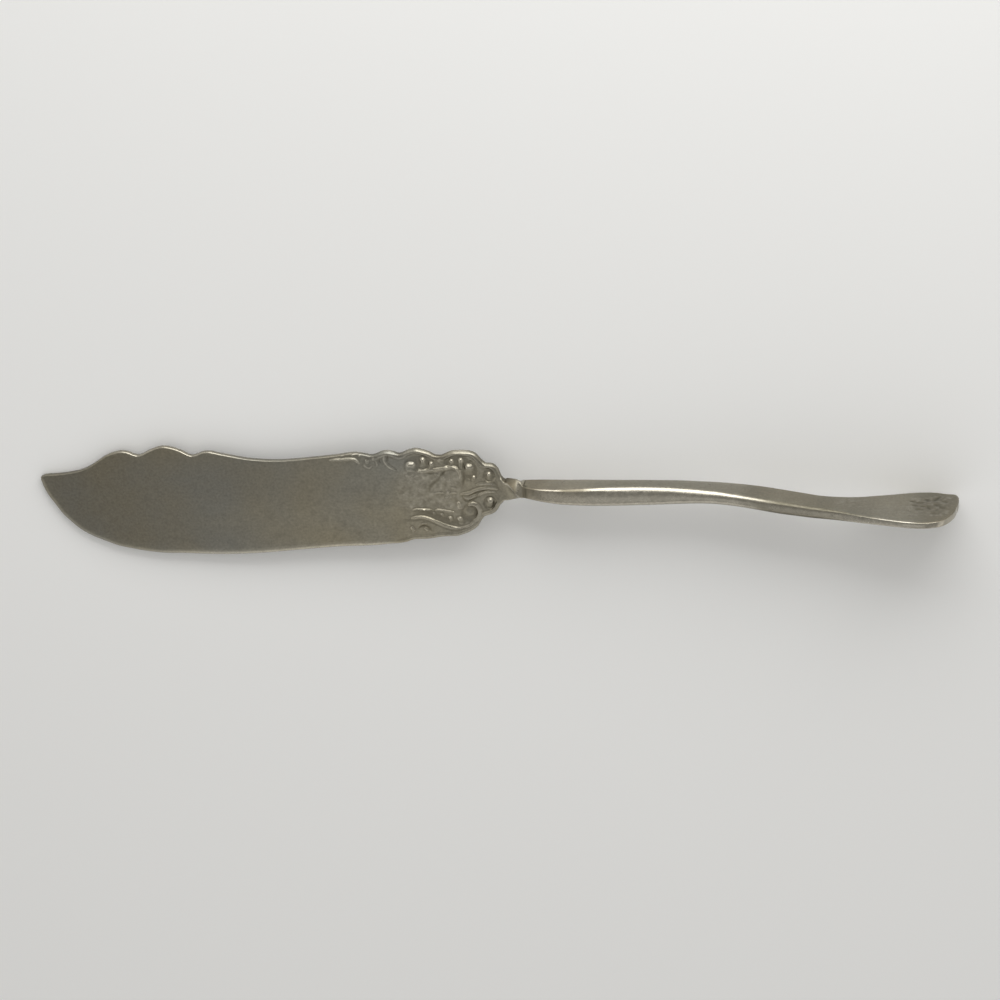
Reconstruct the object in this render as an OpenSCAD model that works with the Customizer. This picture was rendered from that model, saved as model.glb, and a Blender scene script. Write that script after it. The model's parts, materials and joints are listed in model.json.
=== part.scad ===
// Butter knife with a quarter-turn neck: a struck blade with a scalloped back and a shoulder of
// scrolls and beads, hard-soldered to a solid handle that widens and thins to a flat end.
// It lies at rest as on a table: the tip of the blade and the lower edge of the handle's end
// touch z = 0. The long axis is X, the scalloped back faces +Y and the blade's front faces up.

/* [Blade] */
// Length of the blade with its neck, from the tip to the soldered joint
blade_length = 99.5; // [90:0.1:110]
// Greatest width of the blade, from the cutting edge to the scalloped back
blade_width = 23.9; // [21:0.1:27]
// Thickness of the flat of the blade
blade_thickness = 1.3; // [1.1:0.1:1.8]
// Thickness left at the cutting edge
edge_thickness = 0.5; // [0.4:0.1:0.8]
// Width of the bevel that runs down to the cutting edge
edge_bevel = 2.2; // [1:0.1:3]

/* [Shoulder relief] */
// Depth of the sunk ground between the scrolls
ground_depth = 0.1; // [0.05:0.05:0.2]
// Height of the raised border above the flat of the blade
border_height = 0.15; // [0.05:0.05:0.3]
// Width of the slope from the border down to the ground
border_slope = 0.6; // [0.4:0.1:1]
// Radius of the rounded scroll ridges
scroll_radius = 0.4; // [0.3:0.05:0.5]
// Height of the beads above the ground
bead_height = 0.4; // [0.3:0.05:0.5]

/* [Neck and joint] */
// Width of the neck
neck_width = 4.4; // [4:0.1:4.8]
// Thickness of the neck
neck_thickness = 2.6; // [2.4:0.1:3]
// Thickness that the neck gains halfway through its turn
neck_swell = 0.7; // [0:0.1:1]
// Turn of the neck between the blade and the handle
neck_turn = 90; // [70:1:90]
// Diameter of the round tang at the end of the neck
tang_diameter = 1.4; // [1.2:0.1:1.5]
// Length of the tang
tang_length = 8; // [5:0.5:10]
// Thickness of the hard solder around the tang and between the end faces
solder_film = 0.12; // [0.08:0.01:0.15]

/* [Handle] */
// Length of the handle, from the soldered joint to its end
handle_length = 86.3; // [80:0.1:100]
// Thickness of the stem where it swells
stem_thickness = 3.9; // [3.4:0.1:4.4]
// Width of the stem where it swells
stem_width = 5.4; // [4.8:0.1:6]
// Width of the flat end
end_width = 15.8; // [13:0.1:18]
// Thickness of the flat end
end_thickness = 1.3; // [1.1:0.1:1.6]
// How far the lower corner of the end is set back from the upper one
end_slant = 1.2; // [0:0.1:2]
// Sideways bow of the handle from the neck to its end
handle_bow = 3.4; // [2:0.1:5]

/* [Rest] */
// Lean of the blade toward its cutting edge when the knife lies on a table
rest_lean = 1.3; // [0:0.1:2]

/* [Hidden] */
$fn = 48;

silver_colour = [0.66, 0.65, 0.61];
handle_colour = [0.70, 0.69, 0.65];
solder_colour = [0.45, 0.43, 0.39];

// The outline is drawn at these sizes, and grows with the blade
drawn_length = 99.5;
drawn_width = 23.9;
grow = [blade_length / drawn_length, blade_width / drawn_width];

// Scalloped back from the tip to the neck: smooth stretches that meet in sharp notches
back_drawn = [
    [[-99.5, 1], [-98.5, 1.4], [-94.9, 1.8], [-91.4, 2.4], [-88, 4.4], [-84.8, 6.3],
        [-82.3, 6.9], [-80.3, 6.45], [-79.3, 6.1]],
    [[-79.3, 6.1], [-77.1, 7.1], [-74.1, 8.15], [-71.2, 7.7], [-68.2, 6.2]],
    [[-68.2, 6.2], [-65.6, 7.15], [-62.1, 6.75], [-56, 5.75], [-50.5, 5.55], [-43.4, 6.2],
        [-37.3, 7], [-34.7, 7.35], [-31.7, 7]],
    [[-31.7, 7], [-29.9, 7.45], [-27.9, 7.9], [-26.4, 7.6], [-25.6, 7.4]],
    [[-25.6, 7.4], [-23.8, 8.1], [-22, 8.5], [-19.8, 7.95], [-17.6, 7]],
    [[-17.6, 7], [-15.1, 7.95], [-12.5, 8.25], [-10.3, 7.6], [-8.8, 5.9]],
    [[-8.8, 5.9], [-7.3, 5.5], [-6.2, 5.05], [-5.3, 3.9], [-4.8, 2.1]]
];

// Cutting edge from the tip to the neck
edge_drawn = [
    [[-99.5, -0.1], [-98.7, -1.7], [-97.4, -4.2], [-94.9, -7.5], [-91.8, -10.4], [-87.8, -12.6],
        [-82.7, -14.3], [-76.7, -15.2], [-70.6, -15.4], [-64.1, -15.4], [-56.5, -15.15],
        [-45.4, -14], [-36.3, -13.1], [-28.3, -12.55], [-25.6, -12.25]],
    [[-25.6, -12.25], [-23.6, -11.5], [-20.7, -11.25], [-18.4, -10.8], [-14.7, -10.5],
        [-12, -9.6], [-10.2, -8.2], [-8.8, -6.3]],
    [[-8.8, -6.3], [-7.4, -5.5], [-6.3, -4.8], [-5.4, -3.6], [-4.8, -2.1]]
];

// Beads of the shoulder: place along the blade, place across it, radius
beads_drawn = [
    [-23, 4.9, 1], [-20.6, 6, 0.7], [-18.8, 5.4, 0.6],
    [-14.8, 5.9, 0.6], [-12.9, 6, 0.7], [-11.1, 4.7, 0.8], [-10.3, 2.6, 0.5],
    [-7.2, 3.1, 0.7], [-7.3, -2.9, 0.9],
    [-13.5, -6.3, 0.7], [-15.6, -6.2, 0.6], [-17.3, -5.6, 0.5],
    [-14.7, 2.5, 1.1], [-11.7, -5.2, 1.1], [-23.4, -8.5, 0.6], [-31.8, 5.6, 0.6]
];

// Scroll ridges of the shoulder: the points that each one passes through
scrolls_drawn = [
    [[-21.5, 3.8], [-18.4, 3.9], [-15.9, 4.5], [-14.2, 4.6], [-13.1, 3.6], [-12.9, 1.7],
        [-13.6, 0.3], [-14.9, -0.2]],
    [[-23.5, -6.5], [-21.4, -6.2], [-19.6, -6.6], [-17.8, -7.5], [-16, -8.3], [-14.2, -8.6],
        [-12.2, -8.2], [-10.6, -7.1], [-9.6, -5.8], [-9.4, -4.3], [-10, -3.3], [-11.8, -3.1]],
    [[-22.7, -4.5], [-20.3, -4.4], [-18.2, -4.6], [-16.1, -4.9], [-14.5, -5]],
    [[-22.7, -9.5], [-21.9, -8.4], [-20.9, -8], [-19.9, -8.4], [-19.3, -9.4]],
    [[-6.4, 0.3], [-9.1, -0.2], [-12, -1.2]],
    [[-28.7, 6.4], [-27.7, 5.3], [-27, 4.5], [-26, 3.9]]
];

neck_length = 4.8 * grow.x;
shoulder_start = -31 * grow.x;
shoulder_end = -9 * grow.x;
ground_ramp = 2;
border_ramp = 4;
bevel_ramp = 6;
flat = blade_thickness / 2;
ground = flat - ground_depth;
border = flat + border_height;
neck_half = neck_thickness / 2;
waist_x = -0.45 * neck_length;
waist_half = neck_half + neck_swell / 2;
blunt = 0.35;
neck_round = 0.5;
joint_x = -solder_film;
tang_root = 3;
bore_diameter = tang_diameter + 2 * solder_film;
bore_spare = 0.3;

// Smooth curve y(x) through points in order of x
function rise(p, i) = (p[i + 1].y - p[i].y) / (p[i + 1].x - p[i].x);
function inner_slope(p, i) =
    let (before = p[i].x - p[i - 1].x, after = p[i + 1].x - p[i].x)
    (rise(p, i - 1) * after + rise(p, i) * before) / (before + after);
function slope(p, i) =
    let (last = len(p) - 1)
    last == 1 ? rise(p, 0)
    : i == 0 ? 2 * rise(p, 0) - inner_slope(p, 1)
    : i == last ? 2 * rise(p, last - 1) - inner_slope(p, last - 1)
    : inner_slope(p, i);
function span(p, x, i = 0) = i >= len(p) - 2 || x <= p[i + 1].x ? i : span(p, x, i + 1);
function curve_at(p, x) =
    let (i = span(p, x),
        w = p[i + 1].x - p[i].x,
        u = (x - p[i].x) / w)
    p[i].y * (1 + 2 * u) * pow(1 - u, 2)
        + slope(p, i) * w * u * pow(1 - u, 2)
        + p[i + 1].y * (3 - 2 * u) * pow(u, 2)
        + slope(p, i + 1) * w * (u - 1) * pow(u, 2);
function last_x(p) = p[len(p) - 1].x;
function outline_at(stretches, x, k = 0) =
    k == len(stretches) - 1 || x <= last_x(stretches[k])
        ? curve_at(stretches[k], x)
        : outline_at(stretches, x, k + 1);

// Smooth step from 0 to 1 as x goes from a to b
function ease(x, a, b) =
    let (u = max(0, min(1, (x - a) / (b - a))))
    u * u * (3 - 2 * u);

function grown(stretches) =
    [for (s = stretches) [for (p = s) [p.x * grow.x, p.y * grow.y]]];
function neck_side(sign) = [[-neck_length, sign * neck_width / 2], [0, sign * neck_width / 2]];
back = concat(grown(back_drawn), [neck_side(1)]);
edge = concat(grown(edge_drawn), [neck_side(-1)]);

// Places along the blade where its section is taken, with one at every notch
finest_step = 0.3;
steps_per_stretch = 28;
breaks = concat([-blade_length], [for (s = back) last_x(s)]);
function tip_crowding(k) = k == 0 ? 1.6 : 1;
blade_stations = [
    for (k = [0 : len(back) - 1])
        let (length = breaks[k + 1] - breaks[k],
            n = ceil(length / max(finest_step, length / steps_per_stretch)))
        for (j = [k == 0 ? 0 : 1 : n])
            min(joint_x, breaks[k] + length * pow(j / n, tip_crowding(k)))
];

// Half heights and edge widths along the blade
neck_halves = [[-neck_length, neck_half], [waist_x, waist_half], [joint_x, neck_half]];
ground_half = concat([[shoulder_start, flat], [shoulder_start + ground_ramp, ground],
    [shoulder_end, ground]], neck_halves);
border_half = concat([[shoulder_start - border_ramp, flat], [shoulder_start + ground_ramp, border],
    [shoulder_end, border]], neck_halves);
bevel_wide = [[shoulder_start, edge_bevel], [shoulder_start + bevel_ramp, blunt],
    [shoulder_end, blunt], [-neck_length, neck_round]];
bevel_half = [[shoulder_start, edge_thickness / 2], [shoulder_start + bevel_ramp, flat - blunt / 2],
    [shoulder_end, flat - blunt / 2], [-neck_length, neck_half - neck_round]];
back_wide = [[shoulder_end, blunt], [-neck_length, neck_round]];
back_half = [[shoulder_end, flat - blunt / 2], [-neck_length, neck_half - neck_round]];

function turned(p, a) = [p.x * cos(a) - p.y * sin(a), p.x * sin(a) + p.y * cos(a)];
turn_end = -0.3;
function neck_angle(x) = neck_turn * ease(x, -neck_length, turn_end);

// Section of the blade: front from the cutting edge to the back, then the rear face home again.
// Near the tip the borders draw in, so that they never take more than their share of the width.
border_share = 0.8;
function blade_section(x) =
    let (low = outline_at(edge, x),
        high = outline_at(back, x),
        cut = lookup(x, bevel_wide),
        top = lookup(x, back_wide),
        fit = min(1, border_share * (high - low) / (cut + top + 2 * border_slope)),
        front = [
            [low, lookup(x, bevel_half)],
            [low + cut * fit, lookup(x, border_half)],
            [low + (cut + border_slope) * fit, lookup(x, ground_half)],
            [high - (top + border_slope) * fit, lookup(x, ground_half)],
            [high - top * fit, lookup(x, border_half)],
            [high, lookup(x, back_half)]
        ],
        last = len(front) - 1,
        rear = [for (i = [last : -1 : 0]) [front[i].x, -front[i].y]])
    [for (p = concat(front, rear)) let (q = turned(p, neck_angle(x))) [x, q.x, q.y]];

// Closed solid through a list of sections that all have the same number of points
module loft(sections) {
    n = len(sections[0]);
    last = len(sections) - 1;
    polyhedron(
        points = [for (s = sections) for (p = s) p],
        faces = concat(
            [[for (i = [n - 1 : -1 : 0]) i]],
            [for (k = [0 : last - 1]) for (i = [0 : n - 1])
                let (a = k * n + i, b = k * n + (i + 1) % n)
                each [[a, b, a + n], [b, b + n, a + n]]],
            [[for (i = [0 : n - 1]) last * n + i]]));
}

// Handle: bow, thickness and width along its length, as shares of its length
function handle_curve(points) = [for (p = points) [p.x * handle_length, p.y]];
bow_curve = handle_curve([for (p = [[0, 0], [0.04, 0.09], [0.08, 0.165], [0.15, 0.185],
    [0.29, 0.105], [0.38, 0.045], [0.46, 0.09], [0.54, 0.28], [0.61, 0.52], [0.68, 0.755],
    [0.75, 0.925], [0.82, 1], [1, 0.96]]) [p.x, -p.y * handle_bow]]);
thick_curve = handle_curve([[0, neck_thickness], [0.035, 0.82 * stem_thickness],
    [0.08, 0.925 * stem_thickness], [0.15, stem_thickness], [0.29, 0.93 * stem_thickness],
    [0.36, 0.81 * stem_thickness], [0.43, 0.655 * stem_thickness], [0.53, 0.61 * stem_thickness],
    [0.61, 0.53 * stem_thickness], [0.68, 0.43 * stem_thickness], [0.77, 1.05 * end_thickness],
    [0.88, end_thickness], [1, 0.95 * end_thickness]]);
wide_curve = handle_curve([[0, neck_width], [0.035, 0.85 * stem_width], [0.08, 0.945 * stem_width],
    [0.16, stem_width], [0.3, 1.02 * stem_width], [0.43, 1.13 * stem_width],
    [0.53, 1.31 * stem_width], [0.61, 1.5 * stem_width], [0.68, 0.57 * end_width],
    [0.75, 0.67 * end_width], [0.85, 0.87 * end_width], [0.89, 0.955 * end_width],
    [0.925, end_width], [1, end_width]]);

// The end closes in a flattened round
end_start = 0.915 * handle_length;
end_power = 3;
end_nose = 0.12;
function end_share(x) =
    let (u = max(0, (x - end_start) / (handle_length - end_start)))
    max(end_nose, pow(1 - pow(min(1, u), end_power), 1 / end_power));

// Rounded section of the handle; the end leans back a little from its upper to its lower corner
corner_steps = 3;
handle_round = 0.6;
slant_length = 6;
function handle_section(x) =
    let (half_t = curve_at(thick_curve, x) / 2,
        half_w = curve_at(wide_curve, x) / 2 * end_share(x),
        y = curve_at(bow_curve, x),
        slant = end_slant / end_width * ease(x, end_start - slant_length, handle_length),
        r = min(handle_round, 0.9 * half_t, 0.6 * half_w))
    [for (q = [0 : 3]) for (j = [0 : corner_steps - 1])
        let (a = -90 * q - 90 * j / (corner_steps - 1),
            side_y = q == 0 || q == 3 ? 1 : -1,
            side_z = q == 0 || q == 1 ? -1 : 1,
            z = side_z * (half_w - r) + r * sin(a))
        [x - slant * z, y + side_y * (half_t - r) + r * cos(a), z]];
handle_step = 1.5;
end_steps = 14;
handle_stations = concat(
    [for (j = [0 : ceil(end_start / handle_step)]) end_start * j / ceil(end_start / handle_step)],
    [for (j = [1 : end_steps]) end_start + (handle_length - end_start) * (1 - pow(1 - j / end_steps, 2))]);

blade_sections = [for (x = blade_stations) blade_section(x)];
handle_sections = [for (x = handle_stations) handle_section(x)];

// Rest on a table: the handle's end stands on its lower edge and lifts the neck
end_contact = 0.92 * handle_length;
tip_contact = 0.98 * blade_length;
rest_pitch = atan((end_width / 2 - flat) / (end_contact + tip_contact));
function tilted(p) =
    let (y = p.y * cos(rest_lean) - p.z * sin(rest_lean),
        z = p.y * sin(rest_lean) + p.z * cos(rest_lean))
    [p.x * cos(rest_pitch) - z * sin(rest_pitch), y, p.x * sin(rest_pitch) + z * cos(rest_pitch)];
outer_points = [for (s = concat(blade_sections, handle_sections)) for (p = s) tilted(p)];
function reach(axis) = [for (p = outer_points) p[axis]];
rest_shift = [
    -(min(reach(0)) + max(reach(0))) / 2,
    -(min(reach(1)) + max(reach(1))) / 2,
    -min(reach(2))
];

module laid_on_table() {
    translate(rest_shift)
        rotate([0, -rest_pitch, 0])
            rotate([rest_lean, 0, 0])
                children();
}

// Smooth curve in the plane through points, with its first and last point kept
curve_parts = 3;
function through(a, b, c, d, u) =
    0.5 * (2 * b + (c - a) * u + (2 * a - 5 * b + 4 * c - d) * pow(u, 2)
        + (3 * b - a - 3 * c + d) * pow(u, 3));
function smooth_path(p) =
    let (last = len(p) - 1)
    concat([for (i = [0 : last - 1]) for (j = [0 : curve_parts - 1])
        through(p[max(0, i - 1)], p[i], p[i + 1], p[min(last, i + 2)], j / curve_parts)], [p[last]]);

// Rounded ridge along a path, half sunk in the ground and drawn thin at both ends
ridge_sides = 6;
ridge_taper = 0.55;
function ridge_ring(path, i) =
    let (last = len(path) - 1,
        along = path[min(last, i + 1)] - path[max(0, i - 1)],
        across = [-along.y, along.x] / norm(along),
        r = scroll_radius * (ridge_taper + (1 - ridge_taper) * sin(180 * i / last)))
    [for (k = [0 : ridge_sides - 1])
        let (a = -360 * (k + 0.5) / ridge_sides)
        [path[i].x + across.x * r * cos(a), path[i].y + across.y * r * cos(a), ground + r * sin(a)]];

module scroll_ridge(points) {
    path = smooth_path([for (p = points) [p.x * grow.x, p.y * grow.y]]);
    loft([for (i = [0 : len(path) - 1]) ridge_ring(path, i)]);
}

module bead(place) {
    translate([place[0] * grow.x, place[1] * grow.y, ground + bead_height - place[2]])
        sphere(r = place[2]);
}

module relief() {
    for (points = scrolls_drawn)
        scroll_ridge(points);
    for (place = beads_drawn)
        bead(place);
}

overshoot = 1;
module along_x(from, to, diameter) {
    translate([from, 0, 0])
        rotate([0, 90, 0])
            cylinder(d = diameter, h = to - from);
}

module blade() {
    color(silver_colour)
        laid_on_table()
            union() {
                loft(blade_sections);
                relief();
                mirror([0, 0, 1])
                    relief();
                along_x(-tang_root, tang_length, tang_diameter);
            }
}

module handle() {
    color(handle_colour)
        laid_on_table()
            difference() {
                loft(handle_sections);
                along_x(-overshoot, tang_length + bore_spare, bore_diameter);
            }
}

// Solder: a thin pad between the end faces and a sleeve around the tang
pad_inset = 0.15;
module solder_joint() {
    pad = [neck_thickness - 2 * pad_inset, neck_width - 2 * pad_inset];
    color(solder_colour)
        laid_on_table()
            difference() {
                union() {
                    translate([joint_x, -pad.x / 2, -pad.y / 2])
                        cube([solder_film, pad.x, pad.y]);
                    along_x(joint_x, tang_length, bore_diameter);
                }
                along_x(-overshoot, tang_length + overshoot, tang_diameter);
            }
}

blade();
handle();
solder_joint();
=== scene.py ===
"""Looks of the butter knife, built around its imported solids.

Shapes are drawn in the knife's own frame, in millimetres. Its origin is the soldered joint, X runs
along the knife to the end of the handle, Y toward the scalloped back and Z out of the blade's front face.
"""
import json
import math

import bpy
import numpy as np
from mathutils import Matrix, Vector
from mathutils.kdtree import KDTree


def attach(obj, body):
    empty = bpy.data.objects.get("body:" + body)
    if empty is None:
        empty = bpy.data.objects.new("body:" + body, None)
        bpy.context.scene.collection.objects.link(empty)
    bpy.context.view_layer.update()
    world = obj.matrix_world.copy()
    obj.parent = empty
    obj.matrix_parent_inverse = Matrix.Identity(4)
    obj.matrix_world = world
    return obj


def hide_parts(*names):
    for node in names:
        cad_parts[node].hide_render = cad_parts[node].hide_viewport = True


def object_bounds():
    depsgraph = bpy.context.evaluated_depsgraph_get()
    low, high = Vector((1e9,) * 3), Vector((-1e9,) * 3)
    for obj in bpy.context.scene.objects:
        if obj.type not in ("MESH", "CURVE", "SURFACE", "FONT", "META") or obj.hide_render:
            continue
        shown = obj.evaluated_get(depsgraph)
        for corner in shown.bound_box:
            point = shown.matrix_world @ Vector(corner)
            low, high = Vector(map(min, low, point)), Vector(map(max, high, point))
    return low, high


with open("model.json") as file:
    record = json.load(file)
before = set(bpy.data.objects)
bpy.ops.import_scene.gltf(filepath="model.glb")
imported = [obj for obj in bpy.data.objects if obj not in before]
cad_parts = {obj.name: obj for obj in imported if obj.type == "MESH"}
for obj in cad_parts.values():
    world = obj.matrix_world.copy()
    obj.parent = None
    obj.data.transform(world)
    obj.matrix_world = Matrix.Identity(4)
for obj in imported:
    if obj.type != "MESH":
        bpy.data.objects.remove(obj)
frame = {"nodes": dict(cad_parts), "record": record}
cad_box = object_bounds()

MM = 0.001
rng = np.random.default_rng(11)

# Spans are two places along the knife. Bands are a width, or a width and the place of their middle.

# Blade: half heights, borders, wear, and the places where its form changes
BLADE_TIP = -99.9
FLAT = 0.65
EDGE_HALF = 0.27
BEVEL = 1.1
BACK_ROUND = 0.35
SHOULDER_ROUND = 0.6
SHOULDER_POWER = 1.3
EDGE_ROUND = 0.14
SCALLOPS = (-91, -61)
BLADE_POLISH = 0.35
# Tarnish with painted shade: the blade darkens toward its tip
TIP_TARNISH_AND_SHADE = 0.5
TIP_FADE = (-99, -24)
UPPER_TARNISH = 0.13
UPPER_RISE = (-7, 0)
UPPER_SPAN = (-75, -55, -32, -24)
BACK_WORN = [(-86, 0.55), (-82, 0.9), (-64, 0.85), (-57, 0.5), (-40, 0.5), (-34, 0.75)]
EDGE_WORN = [(-100, 0.3), (-80, 0.5), (-66, 0.85), (-30, 0.9), (-24, 0.6)]
WORN_BAND = 0.4
WORN_CLEAN = 0.7
EDGE_BAND = 1.5
TIP_BACK = (-88, -83)
# Painted shade along the back edge near the tip
TIP_BACK_SHADE = 0.6
TIP_BACK_BAND = 0.35
RELIEF_START = -42
FINE_START = -34.5
BEVEL_FADE = (-31, -25)
NECK_START = -4.3
NECK_WIDE = 2.15
JOINT_WIDE = 1.92
NECK_ROUND = 0.42
NECK_END_ROUND = 0.4
NECK_RISE = (NECK_START - 1.5, NECK_START + 0.5)
NECK_END = (-2.4, -1.2)
# Neck polish: lower at its start and higher toward the joint, where it also paints light
NECK_POLISH_AND_LIGHT = (-0.2, 0.4)
NECK_ARRIS = (0.32, 0.55)
SHOULDER_RISE = (FINE_START, -29)
SHOULDER_END = (-7, NECK_START)
SHOULDER_SWELL = (-7.2, NECK_START)
SWELL_UPPER = (2.2, 2.9)
SWELL_LOWER = (-4.2, -2.0)
TURN_SPAN = (-5.2, -0.1)
TURN_POWER = 1.65
NECK_HALF = [
    (NECK_START, 0.97), (-3.6, 1.03), (-2.95, 1.14), (-2.35, 1.3), (-1.75, 1.48), (-1.15, 1.67),
    (-0.6, 1.6), (-0.1, 1.24),
]
NECK_TARNISH = 0.12
WALL_TARNISH = 0.85
WALL_BAND = 0.06
WALL_FADE = (-1.9, -1.2)
BORDER_ROUND = [
    (SHOULDER_RISE[0], BACK_ROUND), (SHOULDER_RISE[1], SHOULDER_ROUND), (SHOULDER_END[0], SHOULDER_ROUND),
    (NECK_START, NECK_ROUND), (NECK_END[0], NECK_ROUND), (NECK_END[1], NECK_END_ROUND),
]

# Saddles between the lobes of the shoulder, with painted shade in them
SADDLE_THIN = 0.65
SADDLE_SHIFT = 2
SADDLE_SHADE = 0.75
SADDLE_SPAN = (0.3, 0.9)

# Soldered joint: film, tarnish, tang and socket
FILM = 0.12
SEAM_INSET = 0.02
SMUDGE_LENGTH = 0.4
SMUDGE_SHARE = (0.05, 0.85)
SMUDGE_RISE = (0.6, 1.5)
BLADE_SMUDGE = 0.6
NECK_END_TARNISH = 0.25
MOUTH_TARNISH = 0.4
SOLDER_TARNISH = 0.3
TANG_RADIUS = 0.7
TANG_LENGTH = 8
SOCKET_LENGTH = 8.3

# Handle: its end, where it is engraved and tarnished, and where shade is painted on its dull edge and its
# underside
HANDLE_LENGTH = 86.45
END_START = 84.4
END_POWER = 2.5
FAR_START = 83
FAR_POWER = 2.2
END_NOSE = 0.1
END_SLANT = 0.1
SLANT_LENGTH = 6
ENGRAVED_START = 62
MAX_CORNER = 0.92
EDGE_BEND = (0.35, 0.4)
SIDE_BAND = 0.1
STEM_FADE = (6, 22)
STEM_REAR = 0.25
STEM_FRONT = 0.08
DULL_START = (1.5, 5)
DULL_SHADE = 0.85
# Painted shade: a darkened strip on the handle's underside before its flat end
UNDERSIDE_SHADE_SPAN = (46, 50, 63, 68)
UNDERSIDE_SHADE_WIDTH = (0.4, 1.5)
UNDERSIDE_SHADE_EDGE = 0.1
UNDERSIDE_SHADE_INSET = 0.2
UNDERSIDE_SHADE_DARKNESS = 0.95

# Handle along its length: sideways bow, half thickness, half width
BOW = [
    (0, 0), (3.5, -0.31), (7, -0.56), (13, -0.63), (25, -0.36), (32.8, -0.15), (39.7, -0.31), (44, -0.73),
    (46.6, -1.08), (48.5, -1.38), (50.8, -1.76), (54.8, -2.35), (58.7, -2.88), (62.8, -3.19),
    (66.8, -3.42), (70.8, -3.48), (79, -3.47), (87, -3.46),
]
HALF_THICK = [
    (0, NECK_HALF[-1][1]), (3, 1.4), (5.5, 1.62), (8, 1.82), (12, 2.01), (16, 2.13), (20, 2.14),
    (24, 2.11), (28, 2), (32, 1.82), (36, 1.62), (40, 1.5), (44, 1.44), (48, 1.45), (52, 1.46),
    (55, 1.41), (58.7, 1.33), (62.8, 1.19), (66.8, 0.99), (70.8, 0.84), (76, 0.78), (87, 0.74),
]
HALF_WIDE = [
    (0, JOINT_WIDE), (3, 2.72), (5.5, 2.95), (8, 3.03), (12, 2.92), (16, 2.68), (20, 2.57), (24, 2.55),
    (28, 2.62), (32, 2.8), (36, 2.95), (40, 3.2), (44, 3.5), (48, 3.69), (52, 3.69), (56, 3.63),
    (60, 3.63), (63, 3.87), (66.8, 4.65), (70.8, 5.83), (73.4, 6.55), (76.8, 7.42), (79.5, 7.8),
    (81.5, 7.75), (83.5, 7.2), (85, 7.05), (87, 6.95),
]

# Handle along its length: its half width away from the table as a share of the other
FAR_SHARE = [(62, 1), (66.5, 0.96), (71, 0.93)]

# Handle along its length: rounding of its fuller and slimmer corners, how near the fuller ones come
# to a chamfer, crown of its wide faces, and shine
FULL_CORNER = [
    (0, 0.3), (3.5, 0.45), (8.7, 0.6), (14, 0.75), (20, 0.88), (36, 0.85), (48, 0.74), (60, 0.74),
    (66, 0.42), (69, 0.34), (73, 0.42), (78, 0.42), (81, 0.3), (87, 0.25),
]
SLIM_CORNER = [(0, 0.3), (3.5, 0.6), (8.7, 1.05), (35, 1.2), (52, 1.1), (60, 1), (65, 0.6), (69, 0.25),
               (87, 0.22)]
FULL_POWER = [(0, 2), (9, 1.5), (18, 1.25), (38, 1.25), (60, 2)]
CROWN = [(0, 0), (8.7, 0.12), (35, 0.16), (60, 0.12), (87, 0.1)]
SHINE = [
    (0, 0.2), (5, 0.5), (9, 0.62), (43, 0.62), (49, 0.2), (58, 0.2), (63, 0.5), (78, 0.55), (82, 0.4),
    (87, 0.3),
]

# Handle along its length: darkening of the wide face, partly tarnish and partly painted shade, and
# dullness of its fuller edge, with painted shade where its highlight fades
FACE_TARNISH_AND_SHADE = [
    (11, 0), (14, 0.25), (17.5, 0.5), (28, 0.5), (34, 0.35), (43, 0.42), (48, 0.2), (51, 0),
    (55, 0.1), (59, 0.2), (67, 0.45), (70, 0.3), (73, 0.05), (76, 0.2), (79, 0.4), (87, 0.35),
]
EDGE_DULL_AND_SHADE = [
    (1.6, 0.8), (3, 0), (6.8, 0), (8.3, 0.72), (11.5, 0.7), (14.5, 0), (48.3, 0), (51.3, 1),
    (66, 1), (70, 0.5), (71.5, 0.25), (73.5, 0), (78, 0), (79.5, 0.5), (84, 0.6),
]

# Handle along its length: extra polish of its worn edges, of its narrow sides and of its lower edges,
# which also paints a lighter sheen on them
EDGE_POLISH_AND_SHEEN = [(70, 0.25), (73, 0.5), (77, 0.5), (80, 0.25)]
SIDE_POLISH_AND_SHEEN = [(46, 0), (50, 0.7), (66, 0.8), (70, 0.95)]
LOWER_POLISH_AND_SHEEN = [(8, 0), (15, 1), (30, 1), (36, 0.3), (44, 0)]

# Scalloped back from the tip to the neck
BACK = [
    (BLADE_TIP, 1.1), (-99.3, 1.45), (-98.5, 1.6), (-96.3, 1.8), (-93.8, 2.15), (-91.2, 2.8),
    (-89.5, 3.6), (-87.7, 4.8), (-85.9, 6), (-84.2, 6.7), (-82.5, 7.05), (-81.2, 6.85), (-80, 6.35),
    (-79.2, 6.2), (-78.4, 6.45), (-76.6, 7.4), (-74.1, 8.2), (-71.6, 7.85), (-69.6, 7), (-68.8, 6.55),
    (-68, 6.35), (-67.1, 6.55), (-65.6, 7.15), (-64.6, 7.25), (-62.1, 6.8), (-56, 5.75), (-50.5, 5.55),
    (-43.4, 6.2), (-37.3, 7), (-34.9, 7.4), (-33.6, 7.4), (-32, 7.15), (-31.1, 7), (-30.2, 7.15),
    (-29.3, 7.6), (-28.1, 8.05), (-27.2, 8.05), (-26.2, 7.75), (-25.3, 7.4), (-24.8, 7.5), (-24, 7.95),
    (-22.7, 8.45), (-22, 8.6), (-20.5, 8.35), (-18.9, 7.75), (-18.1, 7.25), (-17.5, 7.1), (-16.9, 7.1),
    (-15.6, 7.65), (-14.4, 8.2), (-13.2, 8.3), (-11.9, 8.3), (-10.5, 8.05), (-9.5, 7.45), (-8.8, 6.55),
    (-8.3, 6), (-7.6, 5.65), (-6.8, 5.55), (-6, 5.2), (-5.2, 4.25), (-4.9, 3.45), (-4.6, 2.7),
    (NECK_START, NECK_WIDE), (-3.4, NECK_WIDE), (-1.5, 2.05), (0, JOINT_WIDE),
]

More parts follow.
